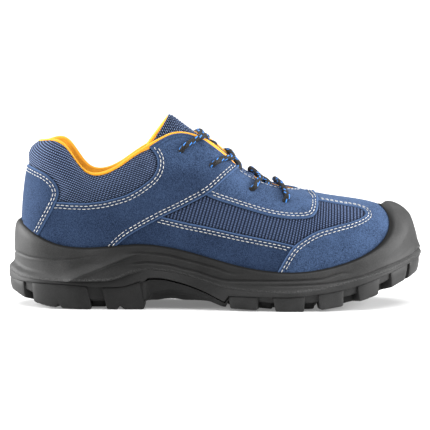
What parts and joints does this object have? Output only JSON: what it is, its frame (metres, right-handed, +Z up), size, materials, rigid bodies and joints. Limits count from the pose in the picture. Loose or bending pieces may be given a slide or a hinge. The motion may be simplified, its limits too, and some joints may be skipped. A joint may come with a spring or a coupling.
{
  "type": "work shoe",
  "caption": "Low lace-up work shoe with a hollow suede and mesh upper, padded collar, tongue, insole and a moulded sole with toe bumper and lugs, standing empty on its sole.",
  "frame": {"origin": "on the ground under the middle of the shoe's box", "axes": "+X towards the toe, +Y towards the inner side of the foot, +Z up"},
  "size_m": [0.302, 0.111, 0.1372],
  "materials": {
    "outsole": "moulded rubber, satin black",
    "midsole": "moulded foam skin, satin dark grey",
    "suede": "blue suede with a short nap",
    "mesh": "ribbed navy knitted mesh",
    "lining": "yellow knitted lining",
    "insole": "dark grey fabric footbed",
    "lace": "round black braid with blue flecks",
    "thread": "off-white sewing thread"
  },
  "bodies": {
    "root": {"outsole": "outsole", "midsole": "midsole", "upper": "suede", "tongue": "mesh", "insole": "insole", "lace_cross_1": "lace", "lace_cross_2": "lace", "lace_cross_3": "lace", "lace_bar": "lace"}
  },
  "joints": []
}
